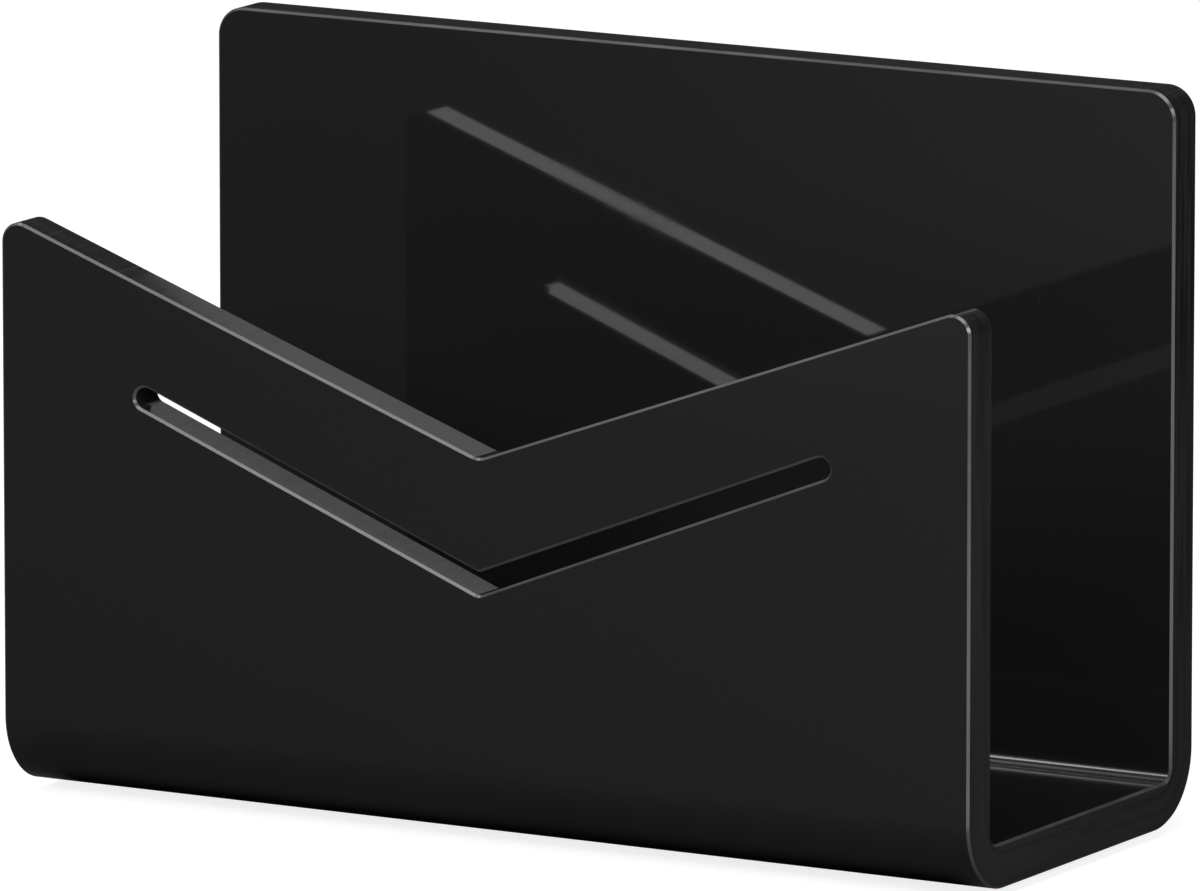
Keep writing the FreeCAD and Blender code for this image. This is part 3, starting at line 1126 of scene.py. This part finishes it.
@dataclass
class RoundPad:
    """A small round pad under the sheet, turned from its section."""

    name: str
    node: str
    slot: Slot
    lower_rounding: float
    upper_rounding: float
    sides: int = 96
    rounding_steps: int = 10

    def build(self, finish: bpy.types.Material) -> bpy.types.Object:
        """Grow the pad, as wide and high as its node, and let it stand for the node.

        Args:
            finish: The pad's material.

        Returns:
            The piece.
        """
        low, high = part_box(self.node)
        width, depth, height = high - low
        values = labelled(self, "name", "node", "slot") | {"Finish": finish}
        values["Centre"] = (low.x + width / 2.0, low.y + depth / 2.0, low.z)
        values |= {"Radius": width / 2.0, "Height": height}
        tree = bpy.data.node_groups.get("round_pad") or PadRule("round_pad", values).write()
        return hand_over(grow(self.name, tree, values), self.node, self.slot)


@dataclass
class Feet:
    """The four stick-on feet, each with the adhesive that holds it."""

    edge_rounding: float = 0.9 * MM
    top_rounding: float = 0.12 * MM
    film_rounding: float = 0.03 * MM

    def build(self) -> list[bpy.types.Object]:
        """Build the feet and their adhesive, one place after the other.

        Returns:
            The pieces.
        """
        rubber, film = ClearRubber().material(), AdhesiveFilm().material()
        edge, top, thin = self.edge_rounding, self.top_rounding, self.film_rounding
        pieces = []
        for stand in Stand:
            foot = (f"clear_foot_{stand.value}", f"foot_{stand.value}", Slot.CLEAR_FOOT)
            disc = (f"adhesive_disc_{stand.value}", f"adhesive_{stand.value}", Slot.ADHESIVE)
            pieces.append(RoundPad(*foot, edge, top).build(rubber))
            pieces.append(RoundPad(*disc, thin, thin).build(film))
        return pieces


@dataclass(frozen=True)
class Softbox:
    """A soft rectangular lamp that faces the holder."""

    name: str
    toward: Place
    distance: float
    width: float
    height: float
    radiance: float

    def build(self, aim: Vector) -> bpy.types.Object:
        """Hang the lamp.

        Args:
            aim: The point that it faces.

        Returns:
            The lamp.
        """
        lamp = bpy.data.lights.new(self.name, "AREA")
        lamp.shape = "RECTANGLE"
        lamp.size = self.width
        lamp.size_y = self.height
        lamp.energy = self.radiance * math.pi * self.width * self.height
        item = bpy.data.objects.new(self.name, lamp)
        way = Vector(self.toward).normalized()
        item.location = aim + way * self.distance
        item.rotation_mode = "QUATERNION"
        item.rotation_quaternion = way.to_track_quat("Z", "Y")
        bpy.context.scene.collection.objects.link(item)
        return item


@dataclass
class Studio:
    """A plain studio: white floor and background, soft lamps, and grey cards for the gloss.

    The cards glow with tones of their own and show only in reflections, as painted reflections. They
    stand where a photographer of gloss black puts them, so that the sheet mirrors something dim, and
    they change no light that falls on it.
    """

    aim: Place = (0.0, 0.0, 0.06)
    sides: int = 128
    floor_radius: float = 12.0
    floor_grey: float = 0.8
    floor_grain: Span = (0.3, 0.7)
    floor_drift: Span = (0.97, 1.0)
    seen_floor_grey: float = 0.4
    seen_floor_glow: float = 0.83
    contact_shade: float = 0.75
    contact_margin: Span = (0.07, 0.09)
    margin_start: Span = (-0.1, -0.2)
    world_grey: float = 0.38
    card_lift: float = 0.2 * MM
    mat_radius: float = 1.2
    front_tone: float = 0.106
    front_rise: float = 0.29
    front_span: Span = (-0.13, 0.13)
    far_span: Span = (-0.52, -0.36)
    far_gain: float = 0.065
    far_fade: Span = (-0.12, 0.08)
    end_tone: float = 0.07
    end_fall: float = 0.5
    end_far_span: Span = (0.4, 0.5)
    end_far_loss: float = 0.04
    end_gain: float = 0.02
    end_reach: float = 0.05
    back_tone: float = 0.17
    back_edge: Span = (0.095, 0.15)
    behind_edge: Span = (-0.06, 0.0)
    margin_shade: float = 0.5
    margin: Span = (0.006, 0.07)
    darkest_tone: float = 0.01
    under_edge: Span = (-8.5 * MM, -0.6 * MM)
    wall_radius: float = 1.15
    wall_height: float = 0.93
    wall_tone: float = 0.04
    ceiling_radius: float = 0.9
    ceiling_height: float = 1.3
    ceiling_tone: float = 0.42
    bounce_corners: tuple[float, float, float, float] = (0.135, -0.9, 1.1, 0.005)
    bounce_tone: float = 1.9
    bounce_slant: float = 0.3
    bounce_edge: Span = (-0.14, -0.08)
    boxes: tuple[Softbox, ...] = (
        Softbox("softbox_left", (-0.49, -0.33, 0.80), 1.1, 0.26, 0.28, 8.0),
        Softbox("softbox_top", (0.19, -0.43, 0.88), 1.1, 0.9, 0.5, 4.9),
        Softbox("strip_right", (0.803, -0.522, 0.285), 1.15, 0.2, 0.44, 12.0),
        Softbox("softbox_front", (-0.22, -0.86, 0.46), 1.0, 0.4, 0.32, 10.5),
    )

    @staticmethod
    def seen(recipe: Recipe) -> Quantity:
        """Tell a look at the background, straight, mirrored or through glass, from other rays.

        Args:
            recipe: The material or world under way.

        Returns:
            1 for camera, glossy and transmission rays, and 0 for the rest.
        """
        path = recipe.add("ShaderNodeLightPath").outputs
        mirrored = recipe.quantity(path["Is Glossy Ray"]) + path["Is Transmission Ray"]
        return (mirrored + path["Is Camera Ray"]).at_most(1.0)

    @staticmethod
    def bare_tree(owner: bpy.types.Material | bpy.types.World) -> Recipe:
        """Empty the node tree of a material or a world, and start on it.

        Args:
            owner: The material or the world.

        Returns:
            The recipe for its tree.
        """
        owner.use_nodes = True
        owner.node_tree.nodes.clear()
        return Recipe(owner.node_tree)

    def floor(self) -> None:
        """Lay the floor: pale to the light but for painted shade round the holder, and white to the
        eye but for the holder's shadow.
        """
        material = bpy.data.materials.new("white_floor")
        recipe = self.bare_tree(material)
        place = recipe.split(recipe.add("ShaderNodeTexCoord").outputs["Object"])
        # Painted shade: round the holder the floor's colour to the light is darker, which dims the
        # light it bounces up under the sheet.
        shade = self.footprint(recipe, place, self.contact_margin) * (-self.contact_shade) + 1.0
        grain = recipe.noise(Scale=3.0, Detail=2.0)
        drift = recipe.ramp(grain, *self.floor_grain, *self.floor_drift) * shade
        plain = recipe.blend(drift, BLACK, [self.floor_grey] * 3)
        lit = recipe.out("ShaderNodeBsdfDiffuse", {"Color": plain})
        shadowed = (*[self.seen_floor_grey] * 3, 1.0)
        soft = recipe.out("ShaderNodeBsdfDiffuse", {"Color": shadowed})
        glow = recipe.out("ShaderNodeEmission", {"Strength": self.seen_floor_glow})
        white = recipe.out("ShaderNodeAddShader", {0: soft, 1: glow})
        mix = recipe.out("ShaderNodeMixShader", {0: self.seen(recipe), 1: lit, 2: white})
        recipe.add("ShaderNodeOutputMaterial", {"Surface": mix})
        self.stage_object("floor", self.ring(self.floor_radius), (0.0,), material)

    def footprint(self, recipe: Recipe, place: Sequence[Quantity], margin: Span) -> Quantity:
        """Mark the ground under the holder and a soft margin round it.

        Args:
            recipe: The material under way.
            place: The ground's own coordinates.
            margin: How far the margin reaches at the ends, and how far in front and behind.

        Returns:
            1 under the holder and 0 beyond the margin.
        """
        within = []
        for part, most, reach, start in zip(place, CAD_BOX[1], margin, self.margin_start):
            within.append(recipe.ramp(abs(part) - most, start * reach, reach, 1.0, 0.0))
        return within[0] * within[1]

    def ring(self, radius: float) -> list[Span]:
        """Give X and Y of each corner of a round outline."""
        turns = [math.tau * step / self.sides for step in range(self.sides)]
        return [(radius * math.cos(turn), radius * math.sin(turn)) for turn in turns]

    @staticmethod
    def stage_object(
        name: str, outline: Sequence[Span], heights: Sequence[float], material: bpy.types.Material
    ) -> bpy.types.Object:
        """Make a flat sheet, or an upright wall, along an outline.

        Args:
            name: The object's name.
            outline: X and Y of its corners.
            heights: The flat sheet's one height, or the wall's lower and upper edge.
            material: Its material.

        Returns:
            The object, which isn't part of the holder.
        """
        count = len(outline)
        ahead = [(step, (step + 1) % count) for step in range(count)]
        if len(heights) > 1:
            faces = [(here, there, count + there, count + here) for here, there in ahead]
        else:
            faces = [tuple(range(count))]
        mesh = bpy.data.meshes.new(name)
        mesh.from_pydata([(x, y, z) for z in heights for x, y in outline], [], faces)
        mesh.materials.append(material)
        item = bpy.data.objects.new(name, mesh)
        bpy.context.scene.collection.objects.link(item)
        return item

    def card(
        self,
        names: tuple[str, str],
        outline: Sequence[Span],
        heights: Sequence[float],
        rule: Callable[[Recipe, Sequence[Quantity]], Any],
    ) -> None:
        """Set up a card that glows with the tone its rule gives, unshaded by any lamp, as a painted
        reflection that shows in reflections alone.

        Args:
            names: The card's name and its material's.
            outline: X and Y of its corners.
            heights: A flat card's one height, or an upright one's lower and upper edge.
            rule: Gives the tone from the card's own coordinates.
        """
        material = bpy.data.materials.new(names[1])
        material.cycles.emission_sampling = "NONE"
        recipe = self.bare_tree(material)
        place = recipe.split(recipe.add("ShaderNodeTexCoord").outputs["Object"])
        glow = recipe.out("ShaderNodeEmission", {"Strength": rule(recipe, place)})
        recipe.add("ShaderNodeOutputMaterial", {"Surface": glow})
        item = self.stage_object(names[0], outline, heights, material)
        for sight in ("camera", "diffuse", "transmission", "volume_scatter", "shadow"):
            setattr(item, f"visible_{sight}", False)

    def mat_rule(self, recipe: Recipe, place: Sequence[Quantity]) -> Quantity:
        """Tone the mat that the upright faces mirror, with soft changes only.

        Each point is reckoned back to the point of the holder that mirrors it: its X on the front
        and its Y on the right end. In front the mat grows paler to the right, and palest far off.
        What the right end mirrors dims towards the back, and the ground behind the holder and at
        its left is pale again, for those sides. Close round the holder the mat is darker, and it
        is black under it: a painted contact shadow for the sheet to mirror.

        Args:
            recipe: The material under way.
            place: The mat's own coordinates.

        Returns:
            The tone.
        """
        low, high = CAD_BOX
        slope = math.tan(VIEW_AZIMUTH)
        front_x = place[0] - (place[1] - low.y) * slope
        end_y = place[1] - (place[0] - high.x) / slope
        left, right = self.front_span
        front_x = front_x.at_least(left).at_most(right)
        front = front_x * self.front_rise + self.front_tone
        far = recipe.ramp(place[1], *self.far_span, self.far_gain, 0.0)
        front = front + far * recipe.ramp(front_x, *self.far_fade)
        end = end_y * (-self.end_fall) + self.end_tone
        end = end - recipe.ramp(place[1], *self.end_far_span, 0.0, self.end_far_loss)
        end = end + recipe.ramp(place[0], high.x, high.x + self.end_reach, self.end_gain, 0.0)
        end = end + (-end + self.back_tone) * recipe.ramp(end_y, *self.back_edge)
        tone = front + (end - front) * recipe.ramp(place[1], *self.behind_edge)
        # Painted shade: darker in a soft margin round the holder and black right under it, a painted
        # contact shadow that the sheet mirrors.
        painted_margin_shade = self.footprint(recipe, place, self.margin) * (-self.margin_shade) + 1.0
        under = recipe.ramp(abs(place[1]) - high.y, *self.under_edge, 1.0, 0.0)
        under = under * recipe.ramp(abs(place[0]) - high.x, *self.under_edge, 1.0, 0.0)
        return (tone * painted_margin_shade).at_least(self.darkest_tone) * (-under + 1.0)

    def bounce_rule(self, recipe: Recipe, place: Sequence[Quantity]) -> Quantity:
        """Tone the bounce card: it glows white, a painted reflection that puts highlights on the
        bevels at the right, and fades out along a slanted line in front.

        Args:
            recipe: The material under way.
            place: The card's own coordinates.

        Returns:
            The tone.
        """
        along = place[1] + place[0] * self.bounce_slant
        return recipe.ramp(along, *self.bounce_edge, 0.0, self.bounce_tone)

    def cards(self) -> None:
        """Set up the mat, the white bounce card, the wall round them and the ceiling."""
        left, front, right, back = self.bounce_corners
        square = [(left, front), (right, front), (right, back), (left, back)]
        mat, wall = self.ring(self.mat_radius), self.ring(self.wall_radius)
        ceiling = self.ring(self.ceiling_radius)
        lift, edges = self.card_lift, (0.0, self.wall_height)
        self.card(("grey_mat", "grey_tone"), mat, (lift,), self.mat_rule)
        self.card(("white_bounce_card", "white_tone"), square, (2.0 * lift,), self.bounce_rule)
        self.card(("dark_wall", "dark_tone"), wall, edges, lambda *_: self.wall_tone)
        names, height = ("pale_ceiling", "pale_tone"), (self.ceiling_height,)
        self.card(names, ceiling, height, lambda *_: self.ceiling_tone)

    def world(self) -> None:
        """Light all sides with an even pale grey, and show white behind the floor's far rim."""
        world = bpy.data.worlds.new("pale_studio")
        bpy.context.scene.world = world
        recipe = self.bare_tree(world)
        strength = self.seen(recipe) * (1.0 - self.world_grey) + self.world_grey
        light = recipe.out("ShaderNodeBackground", {"Strength": strength})
        recipe.add("ShaderNodeOutputWorld", {"Surface": light})

    def build(self) -> None:
        """Set up the whole studio."""
        self.floor()
        self.cards()
        self.world()
        for box in self.boxes:
            box.build(Vector(self.aim))
        bpy.context.scene.view_settings.view_transform = "Standard"


@dataclass(frozen=True)
class PictureCamera:
    """The camera, at the photograph's viewing angle: a long lens, from the right and above."""

    azimuth: float = VIEW_AZIMUTH
    elevation: float = math.radians(10.44)
    distance: float = 2.7942
    target: Place = (0.77 * MM, 0.0, 60.9 * MM)
    sensor: float = 36.0
    lens_share: float = 14.319
    clip_share: float = 20.0

    def build(self) -> bpy.types.Object:
        """Set the camera up and make it the scene's own.

        Returns:
            The camera.
        """
        level = math.cos(self.elevation)
        across = math.sin(self.azimuth) * level
        back = Vector((across, -math.cos(self.azimuth) * level, math.sin(self.elevation)))
        lens = bpy.data.cameras.new("picture_camera")
        lens.sensor_fit = "HORIZONTAL"
        lens.sensor_width = self.sensor
        lens.lens = self.lens_share * self.sensor
        lens.clip_start = self.distance / self.clip_share
        lens.clip_end = self.distance * self.clip_share
        camera = bpy.data.objects.new("picture_camera", lens)
        camera.location = Vector(self.target) + back * self.distance
        camera.rotation_mode = "QUATERNION"
        camera.rotation_quaternion = back.to_track_quat("Z", "Y")
        bpy.context.scene.collection.objects.link(camera)
        bpy.context.scene.camera = camera
        return camera


def main() -> None:
    """Build the holder and its studio, in order, and report each piece."""
    logging.basicConfig(level=logging.INFO, format="%(name)s: %(message)s")
    sheet = BentSheet.on_frame().build()
    pads = Feet().build()
    for piece in [sheet, *pads]:
        LOG.info("%s: %d faces", piece.name, len(piece.data.polygons))
    Studio().build()
    PictureCamera().build()


if __name__ == "__main__":
    main()
